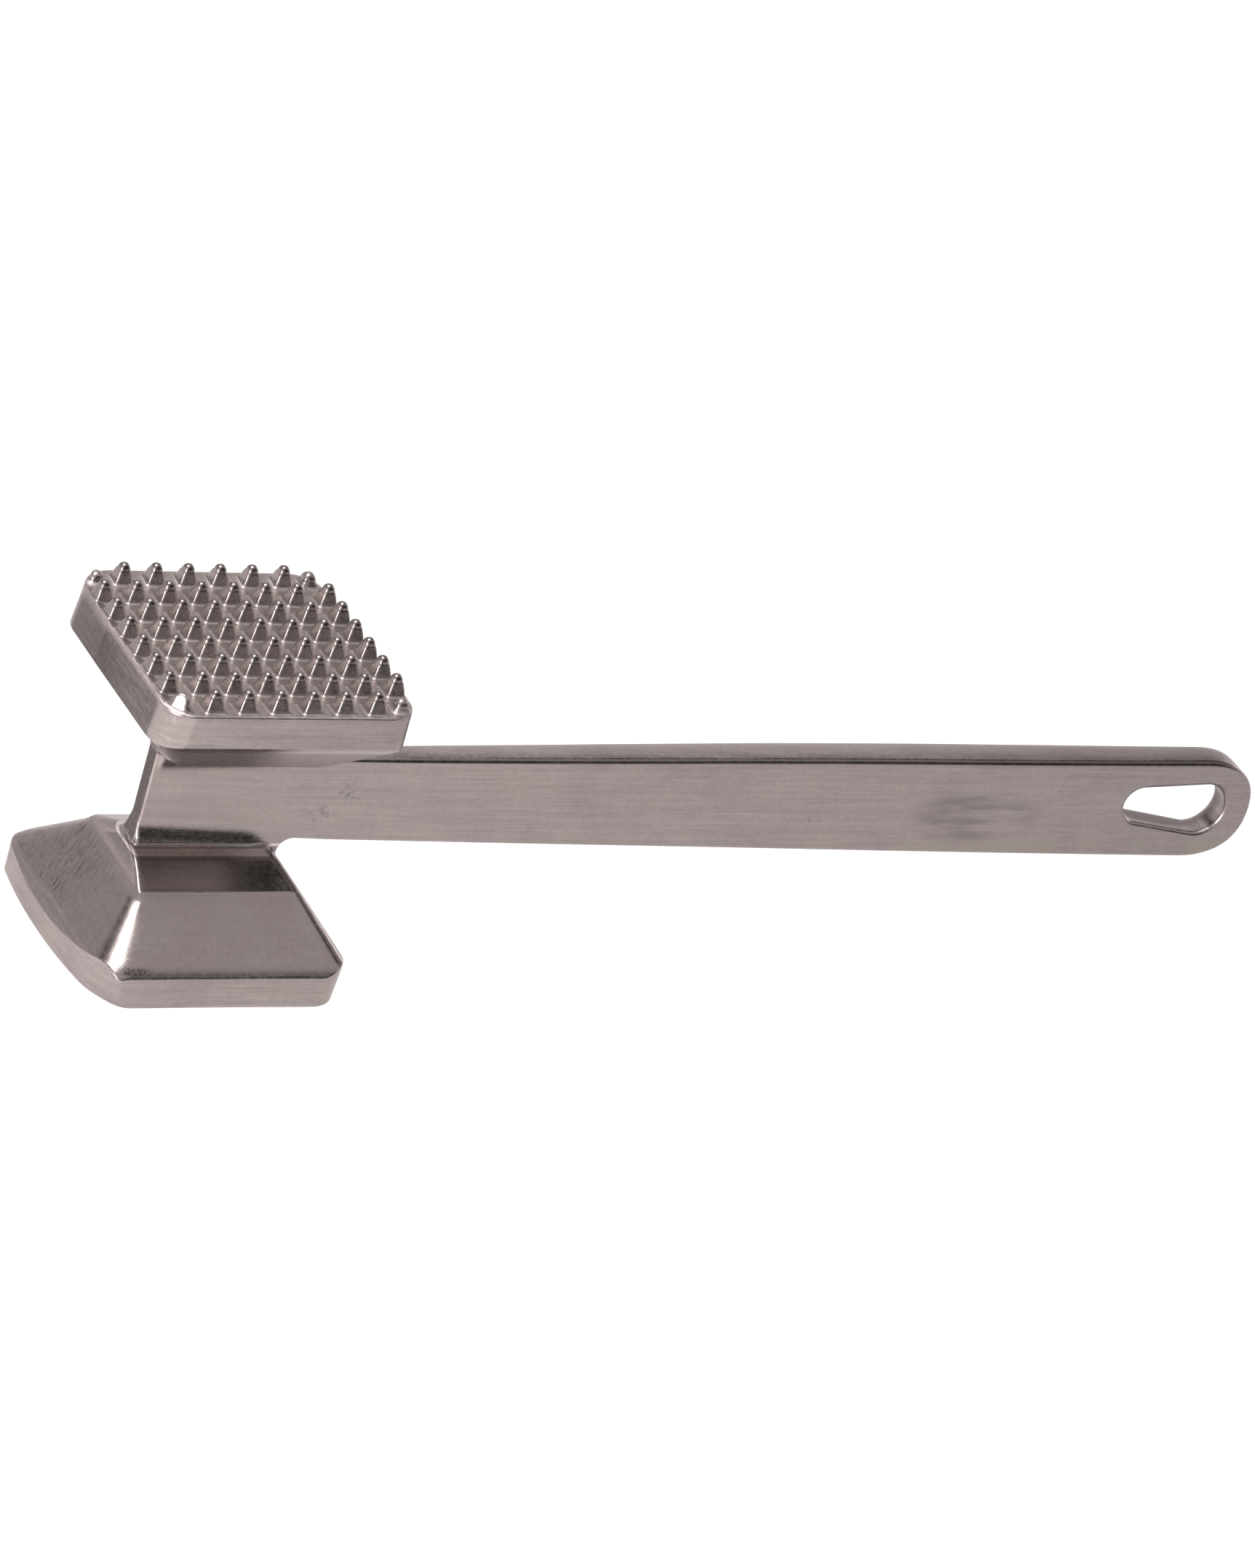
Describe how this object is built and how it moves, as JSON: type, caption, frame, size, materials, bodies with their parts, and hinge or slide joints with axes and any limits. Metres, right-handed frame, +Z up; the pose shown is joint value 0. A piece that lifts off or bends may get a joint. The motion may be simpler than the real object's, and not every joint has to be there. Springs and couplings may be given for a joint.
{
  "type": "meat mallet",
  "caption": "Cast aluminium meat mallet: a flat bar handle with a hanging hole, and a head with a studded striking face on one end and a smooth one on the other.",
  "frame": {"origin": "centre of the smooth striking face, on its surface", "axes": "+Z runs up through the head to the studs, +X runs along the handle to its hanging hole, +Y is the third axis; the smooth face looks along -Z"},
  "size_m": [0.3202, 0.0654, 0.0835],
  "materials": {
    "handle_metal": "satin, brushed along the handle",
    "upper_flare_metal": "satin, as cast and linished",
    "studded_plate_metal": "satin, brushed band and as-cast studs",
    "lower_flare_metal": "satin, as cast and linished",
    "smooth_plate_metal": "satin, brushed"
  },
  "bodies": {
    "root": {"handle_bar": "handle_metal", "upper_head_flare": "upper_flare_metal", "studded_face_plate": "studded_plate_metal", "lower_head_flare": "lower_flare_metal", "smooth_face_plate": "smooth_plate_metal"}
  },
  "joints": []
}
